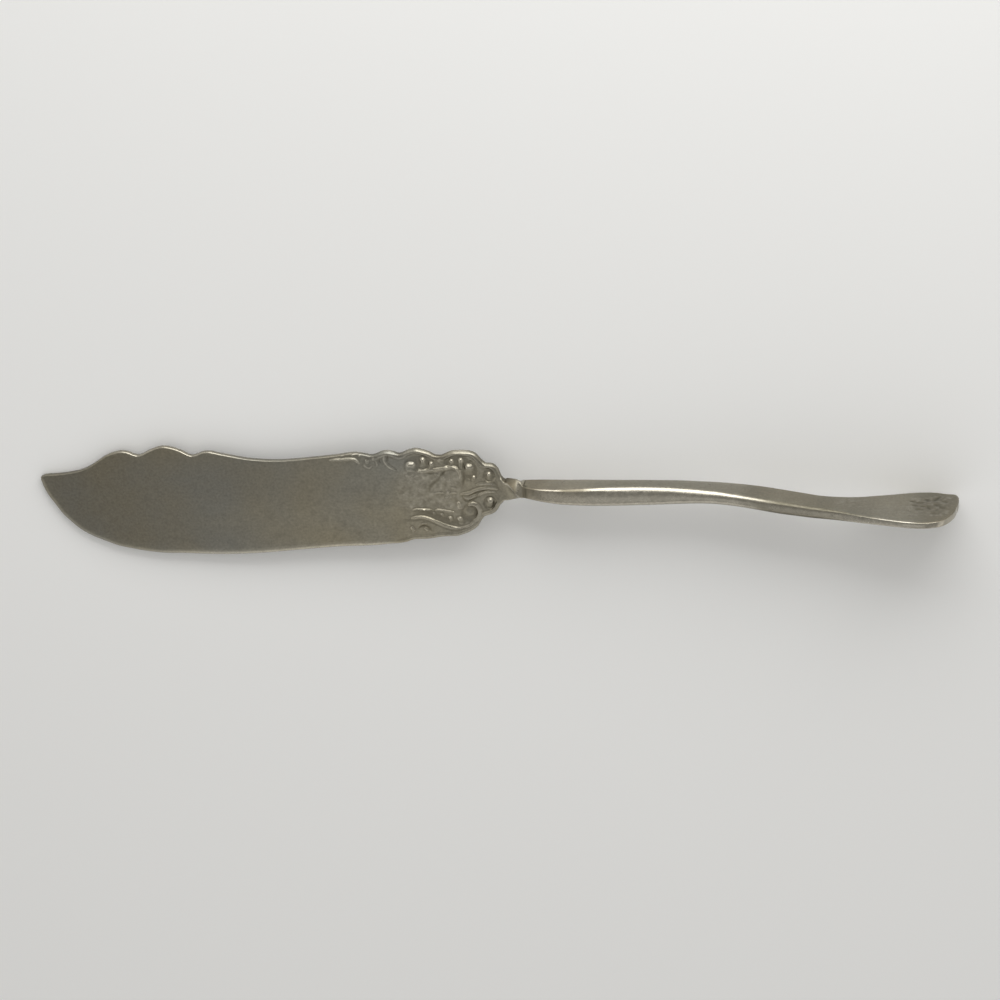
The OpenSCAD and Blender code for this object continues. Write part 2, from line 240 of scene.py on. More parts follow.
# Cutting edge from the tip to the neck
EDGE = [
    (BLADE_TIP, 0.3), (-99.6, -0.75), (-99.1, -2.1), (-98.4, -3.45), (-97.6, -4.65), (-96.2, -6.85),
    (-94.6, -8.6), (-92.3, -10.65), (-89.9, -12), (-87.5, -13), (-85, -13.95), (-82.5, -14.5),
    (-79.2, -15.05), (-75.9, -15.4), (-70.5, -15.4), (-66.3, -15.5), (-63.8, -15.5), (-56.5, -15.15),
    (-45.4, -14), (-38.7, -13.3), (-31, -12.85), (-28.1, -12.5), (-25.6, -12.2), (-24.6, -11.95),
    (-23.9, -11.65), (-23.3, -11.45), (-22.5, -11.35), (-20.8, -11.3), (-19.1, -11.05), (-17.9, -10.8),
    (-15.4, -10.6), (-14.6, -10.55), (-12.9, -10.05), (-11.5, -9.4), (-10.4, -8.65), (-9.9, -8.1),
    (-9.5, -7.4), (-9, -6.6), (-8.6, -6.2), (-7.8, -5.8), (-6.9, -5.5), (-6.1, -4.9), (-5.6, -4.2),
    (-5.2, -3.5), (-4.7, -2.9), (NECK_START, -2.45), (-3.6, -2.37), (-2.95, -2.3), (-2.35, -2.16),
    (-1.75, -2), (0, -JOINT_WIDE),
]

# Shoulder relief: heights are above the flat of the blade
GROUND = -0.13
GROUND_POLISH = 0.5
GROUND_TARNISH = 0.03
GROUND_SPAN = (-28, -22.5, -9, -6)
FIELD_TOP = 0.03
FIELD_POINTS = 11
FIELD_SLOPE = (0.1, 0.9)
FIELD_END = (-12.5, -10.3)
CREST = 0.25
CREST_POWER = 1.25
RIDGE_REACH = 2.5
RIDGE_TAPER = (0, 0.15, 0.8, 1)
RIDGE_END = 0.4
FLAT_SHINE = 0.75
GROOVE_REACH = 3
GROOVE_TAPER = ((0, 0.3, 0.7, 1), (0.4, 1, 1, 0.4))
BEAD_CREST = 0.35
BEAD_REACH = 2.5
BEAD_SINK = 0.5
BOSS_CLEAN = 0.85
BOSS_POLISH = 0.55
DISH_WALL = (0.75, 1.03)
DISH_TARNISH = 0.36
DISH_DULL = 0.4
FOOT_BAND = (0.35, 1.15)
FOOT_TARNISH = 0.4
RIM_TOP = 0.22
RIM_CREST = 0.7
RIM_ROUND = 0.5
RIM_BAND = 0.4
RIM_SADDLE = 0.5
RIM_TARNISH = 0.45
RIM_POLISH = 0.72
RIM_SPAN = (0.75, 1.15)
RIM_START_BACK = (-34, -29)
RIM_START_EDGE = (-27, -23)
RIM_END = (-6, -4.6)

# Rim along the shoulder: 1 on a lobe, low in the saddles between lobes
RIM_LOBES = [
    (-36, 0.6), (-32, 0.45), (-30.5, 0.4), (-29, 0.8), (-28, 1), (-26.6, 0.9), (-25.2, 0.2), (-24, 0.7),
    (-22.7, 0.85), (-20, 0.85), (-18.6, 0.5), (-17.3, 0.1), (-16, 0.5), (-14.5, 1), (-11.5, 1),
    (-9.6, 0.5), (-8.6, 0.2), (-7.7, 0.9), (-6.7, 0.8), (-5.8, 0.2),
]

# Lips and curl of the scrolls
LOWER_LIP = [
    (-23.4, -6.6), (-22.55, -6.4), (-21.35, -6.3), (-20.05, -6.6), (-18.8, -7.15), (-17.8, -7.6),
    (-16.8, -8.05), (-15.5, -8.45), (-14.2, -8.65), (-12.9, -8.45), (-11.5, -7.9), (-10.5, -7.1),
]
CURL = [
    (-11.3, -7.75), (-10.5, -7), (-9.8, -6.3), (-9.4, -5.2), (-9.55, -4.2), (-10.1, -3.5), (-10.95, -3.2),
    (-11.7, -3.5),
]
UPPER_LIP = [
    (-21.4, 3.85), (-20.3, 3.9), (-19.4, 4), (-18.2, 4.2), (-17, 4.4), (-16.1, 4.55), (-14.9, 4.7),
    (-14.05, 4.6), (-13.45, 4.2), (-13.05, 3.55), (-13, 2.4),
]

# Sunk dishes: place, half sizes along and across, depth
DISHES = [
    ((-21.2, 5.6), (3.1, 1.9), 0.22), ((-13.2, 5.7), (3, 1.9), 0.22), ((-10.9, 4.1), (1.8, 2.3), 0.15),
    ((-7.1, 3.1), (1.5, 1.6), 0.2), ((-7.2, -2.9), (1.6, 1.6), 0.2), ((-11.5, -5.2), (2, 2.1), 0.12),
]

# Grooves: points, half width, depth, darkness
GROOVES = [
    ([(-22.8, -5.4), (-20.5, -5.3), (-18.5, -5.7), (-16.5, -6.6), (-14.5, -7.3), (-12.6, -7)],
     0.8, 0.16, 0.4),
    ([(-38.5, 6.55), (-36, 6.75), (-34, 6.8)], 0.22, 0.05, 0.5),
    ([(-29.3, 6.6), (-29.25, 6), (-29.2, 5.3)], 0.26, 0.1, 0.6),
    ([(-27.5, 7.2), (-27.6, 6.6), (-27.45, 6)], 0.28, 0.1, 0.6),
]

# Fine lines cut last, between the raised forms: points, half width, depth, darkness
LINES = [
    ([(-11.4, -1.4), (-10.05, -0.75), (-8.75, -0.35), (-7.2, -0.15)], 0.2, 0.1, 0.6),
    ([(-12.8, -1.3), (-12.4, -2.3), (-11.45, -2.65), (-10, -1.75), (-9.3, -1.6)], 0.2, 0.1, 0.5),
    ([(-10.35, -4.2), (-10.05, -4.8), (-10.15, -5.5), (-10.6, -6.4)], 0.18, 0.1, 0.8),
    ([(-7.9, 4.7), (-7.15, 4.65), (-6.5, 4.15), (-6.25, 3.5)], 0.2, 0.1, 0.65),
    ([(-6.4, -2.3), (-6.35, -3.3), (-6.85, -4.1)], 0.22, 0.12, 0.7),
    ([(-22.2, -8.75), (-21.4, -8.2), (-20.7, -8.15), (-20.05, -8.55), (-19.5, -9.25)], 0.26, 0.12, 0.8),
    ([(-15.85, 3.9), (-16.5, 3.4), (-17.05, 2.8)], 0.28, 0.1, 0.75),
    ([(-17.05, 2.8), (-17.65, 1.9), (-18.5, 1.2), (-19.3, 0.45), (-19.55, -0.6)], 0.32, 0.06, 0.45),
    ([(-12.5, 3.9), (-12.2, 2.55), (-12.6, 0.65)], 0.3, 0.1, 0.55),
    ([(-19.8, 3.35), (-19, 3.3), (-18.3, 3.4)], 0.22, 0.06, 0.6),
]

# Ridges: points, half widths to the left and right of the way they run, top, share left at both ends,
# and share of the width that is flat
RIDGES = [
    (UPPER_LIP, (0.42, 0.55), 0.19, (0.85, 0.3)),
    (LOWER_LIP[:6], (0.42, 0.45), 0.18, (0.7, 0.4)),
    (LOWER_LIP[4:9], (0.45, 0.5), 0.08, (0.5, 0.5), 0.3),
    (LOWER_LIP[7:], (0.4, 0.45), 0.16, (0.3, 0.6)),
    (CURL, (0.6, 0.6), 0.13, (0.5, 0.5), 0.5),
    ([(-11.6, -3.55), (-10.95, -3.3), (-10.25, -3.5)], (0.42, 0.5), 0.3, (0.6, 0.6)),
    ([(-23, -4.75), (-22, -4.65), (-20.5, -4.7), (-19.15, -4.75)], (0.35, 0.38), 0.16, (0.7, 0.4)),
    ([(-18.4, -4.8), (-17.9, -4.7), (-16.7, -4.8), (-15.7, -5), (-14.5, -5.05)],
     (0.35, 0.38), 0.13, (0.7, 0.3)),
    ([(-9.7, 1.05), (-8.2, 1.2), (-6.75, 1.25), (-5.8, 0.9)], (0.5, 0.55), 0.06, (0.5, 0.7), 0.2),
    ([(-12.9, -1.1), (-11.3, -0.9), (-9.9, -0.25), (-8, 0.25), (-6.5, 0.45), (-5.6, 0.3)],
     (0.55, 0.5), 0.14, (0.6, 0.7), 0.2),
    ([(-9.6, -1.35), (-8.5, -0.75), (-7.35, -0.5), (-6, -0.4)], (0.28, 0.35), 0.08, (0.5, 0.7)),
    ([(-12.5, -1.75), (-11.6, -2.05), (-10.6, -1.7), (-9.9, -1.3)], (0.5, 0.5), 0.05, (0.6, 0.5), 0.4),
    ([(-18.45, -1), (-17.4, -0.85), (-16.45, -0.9)], (0.3, 0.36), -0.06, (0.4, 0.4)),
    ([(-15.3, -0.9), (-14.6, -0.8), (-13.85, -0.85)], (0.32, 0.36), -0.03, (0.4, 0.4)),
    ([(-14.95, 0.3), (-14.3, 0.2), (-13.7, -0.05)], (0.3, 0.36), -0.03, (0.4, 0.4)),
    ([(-16.45, -1.9), (-15.6, -1.8), (-14.9, -1.9)], (0.32, 0.36), -0.06, (0.4, 0.4)),
    ([(-21.5, -7.85), (-20.95, -7.6), (-20.4, -7.75)], (0.26, 0.3), 0.08, (0.5, 0.5)),
    ([(-20.9, -8.7), (-20.55, -8.85), (-20.25, -9.15)], (0.36, 0.36), 0.2, (0.6, 0.5)),
    ([(-23.45, -8.5), (-23.1, -9.1), (-23.55, -9.6)], (0.3, 0.3), 0.17, (0.7, 0.5)),
    ([(-39.4, 5.95), (-38, 6.05), (-36.5, 6.15), (-34.6, 6.25), (-33.85, 5.75), (-33.5, 5.35)],
     (0.42, 0.45), 0.38, (0.6, 0.6)),
    ([(-32.5, 5.3), (-32.3, 4.65), (-31.5, 4.3), (-30.9, 4.8)], (0.34, 0.34), 0.03, (0.6, 0.5)),
    ([(-30.1, 5.9), (-29.9, 5.4), (-29.75, 4.8)], (0.3, 0.3), 0.05, (0.6, 0.3)),
    ([(-28.3, 7.1), (-28.25, 6), (-27.85, 5.2), (-27.1, 4.5), (-26.1, 3.95)],
     (0.4, 0.36), 0.17, (0.6, 0.5)),
]

# Drops: round head, radius, top, how far the body runs along and across, and extra width of the head
DROPS = [
    ((-23, 5), 0.82, 0.26, (0, -0.7), 0.6), ((-20.5, 6.2), 0.72, 0.28, (0.1, -1.5)),
    ((-18.75, 5.35), 0.66, 0.22, (-0.1, -0.9)), ((-14.65, 5.95), 0.62, 0.13, (0, -0.8)),
    ((-12.75, 6.15), 0.7, 0.2, (-0.1, -1.3)), ((-11.1, 4.65), 0.85, 0.15, (0, -0.8), 0.5),
    ((-10.25, 2.55), 0.46, 0.14, (-0.1, -0.4)), ((-7.15, 3.25), 0.62, 0.26, (0.1, -0.9)),
    ((-7.15, -2.55), 0.88, 0.38, (-0.25, -0.7)), ((-13.6, -6.65), 0.66, 0.3, (0.2, -0.6)),
    ((-15.55, -6.45), 0.54, 0.24, (0.1, -0.5)), ((-17.2, -5.75), 0.42, 0.1, (0.1, -0.3)),
    ((-18.8, -5.45), 0.32, -0.04, (0.1, -0.2)), ((-13.65, -3.15), 0.46, 0.2, (0.2, -0.9)),
    ((-31.8, 5.95), 0.48, 0.27, (0, -0.3)), ((-23.45, -8.7), 0.44, 0.25, (0.2, -0.3)),
    ((-23.85, 2.85), 0.44, 0, (0.3, -0.2)), ((-22.3, 2.45), 0.36, -0.04, (0.1, -0.2)),
    ((-17.9, 3.1), 0.36, 0, (0, -0.1)), ((-16.9, 6.2), 0.6, 0.04, (0.2, -0.3)),
    ((-30.4, 6.4), 0.5, 0.1, (0.2, -0.1)), ((-37, 6.85), 0.32, 0.1, (0.3, 0)),
    ((-34.7, 7.05), 0.36, 0.14, (0.2, 0)), ((-33.3, 7.05), 0.36, 0.16, (0.2, 0)),
]

# Broad low swellings: place, radius, top
BOSSES = [((-14.6, 2.7), 1.7, 0.05), ((-11.55, -4.9), 1.2, 0.2), ((-11.4, 1.5), 0.8, 0)]

# Mottled ground between the scrolls and on the handle: count, box (x, w), depth and strength of its dots
DOT_RADIUS = (0.2, 0.45)
DOT_REACH = 2
DOT_FADE = 0.3
SHOULDER_DOTS = (900, ((-27.5, -12.5), (-4.4, 3.7)), 0.04, 0.3)
END_DOTS = (420, ((75, 85.5), (-4, 5.5)), 0.012, 0.3)
STEM_DOTS = (60, ((62, 69), (-1, 3)), 0.01, 0.25)

# Worn sprig engraved on the handle's end, as strokes of points (x, z), half width and darkness
SPRIG = [
    ([(81.5, -2.9), (81.9, -4.2), (82.5, -5.6)], 0.46, 1),
    ([(80.8, -2.9), (80.4, -3.6), (79.9, -4.2)], 0.42, 1),
    ([(80.7, -0.9), (80.95, 0), (81.5, 1)], 0.42, 1),
    ([(81.9, -1.6), (82.3, -1.3), (82.7, -1)], 0.34, 0.9),
    ([(83.1, -0.5), (83.7, 0.1), (84.4, 0.4)], 0.34, 0.7),
    ([(78.3, -2.4), (79, -2.2), (79.8, -2.3)], 0.28, 0.55),
    ([(76.9, -3.1), (77.6, -2.9), (78.2, -2.4)], 0.3, 0.45),
    ([(79.3, -0.7), (79.8, -0.5), (80.3, -0.6)], 0.3, 0.55),
    ([(77.6, -1.3), (78.2, -0.9), (78.9, -0.6)], 0.28, 0.45),
    ([(83.2, -3.4), (83.8, -3), (84.3, -2.2)], 0.36, 0.45),
    ([(81.8, 2.2), (82.4, 2.8), (83.2, 3)], 0.36, 0.35),
    ([(78.4, 1), (79.2, 0.9), (80, 1.4)], 0.36, 0.35),
]
SPRIG_HEART = (81, -1.6)
SPRIG_DEPTH = 0.11
SPRIG_PATCH = 4.6
PATCH_TARNISH = 0.25

# Points of the outlines, rings along the zones of each piece, and a ring's points on front and rear
OUTLINE_POINTS = 5000
TIP_POINTS = 40
NOSE_POINTS = 60
PATH_STEPS = 6
BORDER_POINTS = 6
BORDER_SHARE = 0.3
TIP_CROWDING = 1.7
PLAIN_RINGS = (36, 100, 26)
RELIEF_RINGS = (44, 268)
NECK_RINGS = 48
STEM_RINGS = (14, 120)
FLAT_RINGS = (96, 60)
JOINT_SPAN = (0.1, 4)
ZONE_STEP = 0.2
SEAM_STEP = 0.1
PLAIN_COUNTS = (46, 46)
RELIEF_COUNTS = (152, 72)
NECK_COUNTS = (36, 36)
STEM_COUNTS = (44, 44)
FLAT_COUNTS = (128, 52)
SHARP_ANGLE = 65

# Silver: warm and cool tones, worn bright tone that also paints sheen, patina tone that also paints shade,
# and roughness from dull to polished
BLADE_LOOK = ((0.315, 0.284, 0.208, 1), (0.285, 0.279, 0.242, 1), (0.5, 0.465, 0.385, 1),
              (0.085, 0.07, 0.045, 1), (0.48, 0.22))
HANDLE_LOOK = ((0.295, 0.262, 0.195, 1), (0.28, 0.262, 0.21, 1), (0.5, 0.47, 0.4, 1),
               (0.1, 0.092, 0.065, 1), (0.46, 0.2))
SOLDER_LOOK = ((0.24, 0.22, 0.175, 1), (0.22, 0.21, 0.18, 1), (0.34, 0.32, 0.28, 1),
               (0.1, 0.085, 0.06, 1), (0.6, 0.4))
CLOUD_SCALE = 42
SPOT_SCALE = 150
MOTTLE_SCALE = 520
SPECKLE_SCALE = 2100
GRAIN_SCALE = 3600
BUMP_HEIGHT = 0.000004
BUMP_STRENGTH = 0.5
SCRATCH_SCALE = (60, 5200, 5200)
SCRATCH_SEED = 3.7
SCRATCH_MATTE = 0.05
SCRATCH_RELIEF = 0.8
BLADE_SCRATCHES = (4, 38, -52, 85)
HANDLE_SCRATCHES = (0, 24, -40)

# Silver: how noises and the polished-look attribute, which also carries painted sheen, are spread, from
# low and high to a new low and high
CLOUD_SPREAD = (0.35, 0.65, 0, 1)
SPOT_SPREAD = (0.6, 0.74, 0, 0.3)
SPOT_WORN = (0.5, 1, 1, 0)
PATINA_SPREAD = (0.3, 0.7, 0.55, 1.15)
BRIGHT_SPREAD = (0.4, 1, 0, 0.7)
MOTTLE_SHADE = (0.25, 0.75, 0.86, 1.12)
SPECKLE_SHADE = (0.25, 0.75, 0.86, 1.14)
MOTTLE_MATTE = (0.3, 0.7, -0.05, 0.05)
SCRATCH_SPREAD = (0.6, 0.72, 0, 1)

# Stage: floor, dome and camera
FLOOR_HALF = 6.0
FLOOR_TONES = ((0.84, 0.84, 0.825, 1), (0.87, 0.87, 0.86, 1))
DOME_COLOUR = (1, 0.99, 0.97, 1)
DOME_HEIGHTS = (0.3, 0.8)
DOME_LEVELS = (1.0, 0.4)
TILT = 22.7
SWING = 8
DISTANCE = 1.1
SENSOR = 36
FRAME_WIDTH = 0.2003
IMAGE_PIXELS = 1000
MIDDLE_ROW = 499.5


# Curves and blends

def ease(x, start, end):
    """Smooth step from 0 at start to 1 at end."""
    u = np.clip((x - start) / (end - start), 0, 1)
    return u * u * (3 - 2 * u)


def blend(a, b, share):
    return a + (b - a) * share


def plateau(x, a, b, c, d):
    """1 from b to c, with a smooth rise from a and a smooth fall to d."""
    return ease(x, a, b) * (1 - ease(x, c, d))


def bell(value, width, middle=0.0):
    """Bell curve: 1 at the middle and about a third at the width to either side."""
    return np.exp(-(((value - middle) / width) ** 2))


def linear(points, x):
    """Straight runs y(x) between points in order of x, level before the first and after the last."""
    return np.interp(x, *np.array(points, float).T)


def curve(points, x):
    """Smooth curve y(x) through points in order of x."""
    place, value = np.array(points, float).T
    step = np.diff(place)
    rise = np.diff(value) / step
    inner = (rise[:-1] * step[1:] + rise[1:] * step[:-1]) / (step[:-1] + step[1:])
    slope = np.concatenate([[2 * rise[0] - inner[0]], inner, [2 * rise[-1] - inner[-1]]])
    i = np.clip(np.searchsorted(place, x) - 1, 0, len(step) - 1)
    u = (x - place[i]) / step[i]
    return (value[i] * (1 + 2 * u) * (1 - u) ** 2 + slope[i] * step[i] * u * (1 - u) ** 2
            + value[i + 1] * (3 - 2 * u) * u ** 2 + slope[i + 1] * step[i] * (u - 1) * u ** 2)


def peak(reach, roundness):
    """Profile of a ridge or bead: 1 at its rounded top, with straight flanks down to 0 at reach 1."""
    full = math.hypot(1, roundness) - roundness
    return np.clip(1 - (np.hypot(reach, roundness) - roundness) / full, 0, 1)


def smooth_path(points):
    """Smooth path in the plane through points, with a few steps between two of them."""
    p = np.array(points, float)
    p = np.vstack([p[:1], p, p[-1:]])
    u = np.linspace(0, 1, PATH_STEPS, endpoint=False)[:, None]
    spans = [0.5 * (2 * b + (c - a) * u + (2 * a - 5 * b + 4 * c - d) * u ** 2
                    + (3 * b - a - 3 * c + d) * u ** 3)
             for a, b, c, d in zip(p, p[1:], p[2:], p[3:])]
    return np.vstack(spans + [p[-1:]])


# Faces: height, darkening from tarnished silver and painted shade, and brightening from polished silver
# and painted sheen, at many places of a face

class Face:
    """A face of a piece, as places (x, w) with a height, a darkening from tarnished silver and painted
    shade, and a brightening from polished silver and painted sheen at each.
    """

    def __init__(self, stations, w):
        self.shape = w.shape
        self.x = np.repeat(stations, w.shape[1])
        self.w = w.ravel()
        self.height, self.tarnish_and_shade, self.polish_and_sheen = np.zeros((3, w.size))

    def near(self, path, reach):
        """Places near a path: distance, share of the path, and whether left of it."""
        low = path.min(0) - reach
        high = path.max(0) + reach
        pick = np.flatnonzero((self.x > low[0]) & (self.x < high[0])
                              & (self.w > low[1]) & (self.w < high[1]))
        x = self.x[pick]
        w = self.w[pick]
        gap = np.full(len(pick), np.inf)
        along = np.zeros(len(pick))
        left = np.zeros(len(pick), bool)
        for k, (a, b) in enumerate(zip(path, path[1:])):
            span = b - a
            t = np.clip(((x - a[0]) * span[0] + (w - a[1]) * span[1]) / (span @ span), 0, 1)
            here = np.hypot(x - a[0] - t * span[0], w - a[1] - t * span[1])
            closer = here < gap
            gap = np.where(closer, here, gap)
            along = np.where(closer, (k + t) / (len(path) - 1), along)
            left = np.where(closer, span[0] * (w - a[1]) > span[1] * (x - a[0]), left)
        return pick, gap, along, left

    def dish(self, place, half, depth):
        """Sinks an oval with a soft wall."""
        reach = np.hypot((self.x - place[0]) / half[0], (self.w - place[1]) / half[1])
        inside = 1 - ease(reach, *DISH_WALL)
        self.height -= depth * inside
        self.tarnish_and_shade = np.maximum(self.tarnish_and_shade, DISH_TARNISH * inside)
        self.polish_and_sheen *= 1 - DISH_DULL * inside

    def ridge(self, points, halves, top, ends, flat=0.0):
        """Raises a ridge along a path, with its own width on either side and a flat top where wanted."""
        pick, gap, along, left = self.near(smooth_path(points), RIDGE_REACH * max(halves))
        size = np.interp(along, RIDGE_TAPER, (ends[0], 1, 1, ends[1]))
        reach = gap / (np.where(left, *halves) * size)
        flank = np.clip((reach - flat) / (1 - flat), 0, None)
        crown = peak(flank, CREST) ** CREST_POWER * blend(RIDGE_END, 1, size)
        self.raise_to(pick, top, crown, reach, crown ** 2 * (FLAT_SHINE if flat else 1))

    def groove(self, points, half, depth, dark):
        """Cuts a groove along a path, drawn thin at its ends."""
        pick, gap, along, _ = self.near(smooth_path(points), GROOVE_REACH * half)
        size = half * np.interp(along, *GROOVE_TAPER)
        cut = bell(gap, size) * size / half
        self.height[pick] -= depth * cut
        self.tarnish_and_shade[pick] = np.maximum(self.tarnish_and_shade[pick], dark * cut)
        self.polish_and_sheen[pick] *= 1 - cut

    def drop(self, place, radius, top, tail, wide=0.0):
        """Raises a bead with a bright head, round or wide, whose body runs on and sinks."""
        x = self.x - place[0]
        x = np.sign(x) * np.maximum(np.abs(x) - wide / 2, 0)
        w = self.w - place[1]
        along = np.clip((x * tail[0] + w * tail[1]) / np.dot(tail, tail), 0, 1)
        reach = np.hypot(x - along * tail[0], w - along * tail[1]) / radius
        pick = np.flatnonzero(reach < BEAD_REACH)
        along = along[pick]
        reach = reach[pick]
        crown = peak(reach, BEAD_CREST) * (1 - BEAD_SINK * along)
        self.raise_to(pick, top, crown, reach, np.sqrt(crown) * (1 - along) ** 2)

    def boss(self, place, radius, top):
        """Raises a broad low swelling."""
        gap = np.hypot(self.x - place[0], self.w - place[1]) / radius
        crown = np.clip(1 - gap ** 2, 0, 1)
        self.height = blend(self.height, top, crown)
        self.tarnish_and_shade *= 1 - BOSS_CLEAN * crown
        self.polish_and_sheen = np.maximum(self.polish_and_sheen, BOSS_POLISH * crown)

    def raise_to(self, pick, top, crown, reach, shine):
        """Lifts places toward a top, polishes them and leaves a soft tarnished foot."""
        self.height[pick] = blend(self.height[pick], top, crown)
        foot = FOOT_TARNISH * bell(reach, *FOOT_BAND)
        self.tarnish_and_shade[pick] = np.maximum(self.tarnish_and_shade[pick] * (1 - crown), foot)
        self.polish_and_sheen[pick] = np.maximum(self.polish_and_sheen[pick], shine)

    def stipple(self, count, box, depth, strength):
        """Works small random dents, which darken, and bumps, which brighten, into a box of the face."""
        (low, high), across_box = box
        for _ in range(count):
            place = np.array([rng.uniform(low, high), rng.uniform(*across_box)])
            radius = rng.uniform(*DOT_RADIUS)
            dent = rng.uniform(-1, 1)
            pick = np.flatnonzero((np.abs(self.x - place[0]) < DOT_REACH * radius)
                                  & (np.abs(self.w - place[1]) < DOT_REACH * radius))
            gap = np.hypot(self.x[pick] - place[0], self.w[pick] - place[1])
            dot = bell(gap, radius) * (1 - self.polish_and_sheen[pick] ** 2)
            dot *= ease(self.x[pick], low, low + DOT_FADE * (high - low))
            self.height[pick] -= depth * dent * dot
            self.tarnish_and_shade[pick] = np.clip(self.tarnish_and_shade[pick] + strength * max(dent, 0) * dot, 0, 1)
            self.polish_and_sheen[pick] = np.clip(self.polish_and_sheen[pick] + strength * max(-dent, 0) * dot, 0, 1)


def tree_of(x, w):
    """Search tree of the points of an outline."""
    tree = KDTree(len(x))
    for i, (a, b) in enumerate(zip(x, w)):
        tree.insert((a, b, 0), i)
    tree.balance()
    return tree


def gap_to(tree, face):
    """Distance from each place of a face to an outline."""
    return np.array([tree.find((a, b, 0))[2] for a, b in zip(face.x, face.w)])


def rounded(gap, radius, power=2.0):
    """Drop of a border at a distance from the outline: a round at power 2, a chamfer at 1."""
    inside = np.clip(1 - gap / radius, 0, 1)
    return radius * (1 - (1 - inside ** power) ** (1 / power))


# Meshes made of rings

def across(low, high, count, border):
    """Places from low to high at each station, crowded into the borders on both sides."""
    width = (high - low)[:, None]
    steps = 1 - np.cos(np.linspace(0, math.pi / 2, BORDER_POINTS))
    inset = steps * np.minimum(border, BORDER_SHARE * width)
    inner = np.linspace(0, 1, count - 2 * BORDER_POINTS + 2)[1:-1]
    first = low[:, None] + inset
    last = (high[:, None] - inset)[:, ::-1]
    middle = blend(first[:, -1:], last[:, :1], inner)
    return np.concatenate([first, middle, last], axis=1)


class Zone:
    """Rings that each run over the front face from low to high and home over the rear face."""

    def __init__(self, stations, low, high, counts, border):
        self.x = np.asarray(stations, float)
        self.front = across(low, high, counts[0], border)
        self.rear = across(low, high, counts[1], border)[:, ::-1]
        out, home = ((w - low[:, None]) / (high - low)[:, None] for w in (self.front, self.rear))
        self.way = np.concatenate([out, 2 - home], axis=1) / 2

    def rings(self, place, front, rear):
        """Rings of (points, way round, tarnished look with painted shade, polished look with painted
        sheen) from the two faces.
        """
        w = np.concatenate([self.front, self.rear], axis=1)
        h, tarnish_and_shade, polish_and_sheen = (
            np.concatenate([getattr(face, name).reshape(face.shape) for face in (front, rear)], axis=1)
            for name in ("height", "tarnish_and_shade", "polish_and_sheen"))
        h[:, front.shape[1]:] *= -1
        points = [place(np.full(len(a), x), a, b) for x, a, b in zip(self.x, w, h)]
        return list(zip(points, self.way, tarnish_and_shade, polish_and_sheen))


def flat_ring(like, side, x, tarnish_and_shade):
    """Dull ring across the knife, whose points run round like another ring's."""
    points = np.column_stack([np.full(len(side), x), side])
    return points, like[1], np.full(len(side), tarnish_and_shade), np.zeros(len(side))


def round_ring(ring, radius, x, tarnish_and_shade):
    """Ring on a circle about the X axis, at the angles of another ring's points."""
    side = ring[0][:, 1:]
    return flat_ring(ring, side * radius / np.linalg.norm(side, axis=1)[:, None], x, tarnish_and_shade)


def shrunk_ring(ring, inset, x, tarnish_and_shade):
    """Ring drawn in toward the X axis and moved along it."""
    side = ring[0][:, 1:]
    middle = (side.min(0) + side.max(0)) / 2
    half = (side.max(0) - side.min(0)) / 2
    return flat_ring(ring, middle + (side - middle) * (half - inset) / half, x, tarnish_and_shade)


def stitch(start_a, way_a, start_b, way_b):
    """Faces between two closed rings: quads where they match, triangles where they don't."""
    count_a = len(way_a)
    count_b = len(way_b)
    if count_a == count_b:
        return [(start_a + i, start_b + i, start_b + (i + 1) % count_a, start_a + (i + 1) % count_a)
                for i in range(count_a)]
    faces = []
    i = j = 0
    while i < count_a or j < count_b:
        next_a = way_a[i + 1] if i + 1 < count_a else 1 + (i >= count_a)
        next_b = way_b[j + 1] if j + 1 < count_b else 1 + (j >= count_b)
        here_a = start_a + i % count_a
        here_b = start_b + j % count_b
        if next_a <= next_b:
            i += 1
            faces.append((here_a, here_b, start_a + i % count_a))
        else:
            j += 1
            faces.append((here_a, here_b, start_b + j % count_b))
    return faces


def put(name, data):
    """New object with its data, in the scene."""
    made = bpy.data.objects.new(name, data)
    bpy.context.scene.collection.objects.link(made)
    return made


def ring_mesh(name, rings, closed_loop=False):
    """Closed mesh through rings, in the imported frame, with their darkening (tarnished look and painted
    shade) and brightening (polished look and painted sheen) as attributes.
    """
    starts = np.cumsum([0] + [len(ring[0]) for ring in rings])
    faces = []
    pairs = list(zip(range(len(rings)), range(1, len(rings))))
    if closed_loop:
        pairs.append((len(rings) - 1, 0))
    else:
        faces.append(tuple(range(starts[0], starts[1])))
        faces.append(tuple(range(starts[-1] - 1, starts[-2] - 1, -1)))
    for a, b in pairs:
        faces += stitch(int(starts[a]), rings[a][1], int(starts[b]), rings[b][1])
    points = np.concatenate([ring[0] for ring in rings]) * MM
    mesh = bpy.data.meshes.new(name)
    mesh.from_pydata((points @ knife_turn.T + knife_origin).tolist(), [], faces)
    for k, field in ((2, "tarnish_and_shade"), (3, "polish_and_sheen")):
        values = np.concatenate([ring[k] for ring in rings]).clip(0, 1)
        mesh.attributes.new(field, "FLOAT", "POINT").data.foreach_set("value", values.astype(np.float32))
    mesh.shade_smooth()
    mesh.set_sharp_from_angle(angle=math.radians(SHARP_ANGLE))
    return put(name, mesh)


def cad_points(node):
    return np.array([v.co for v in frame["nodes"][node].data.vertices])


def find_knife_frame():
    """Axes and origin of the knife's own frame, from the solids as they lie on the table."""
    down = Vector(frame["record"]["mounts"][0]["axis"])
    lean = math.asin(down.y)
    pitch = math.atan2(down.x, -down.z)
    turn = np.array(Matrix.Rotation(-pitch, 3, "Y") @ Matrix.Rotation(lean, 3, "X"))
    handle = cad_points("handle") @ turn
    solder = cad_points("solder_joint") @ turn
    middle = (solder.min(0) + solder.max(0)) / 2
    return turn, turn @ np.array([handle[:, 0].min(), middle[1], middle[2]])


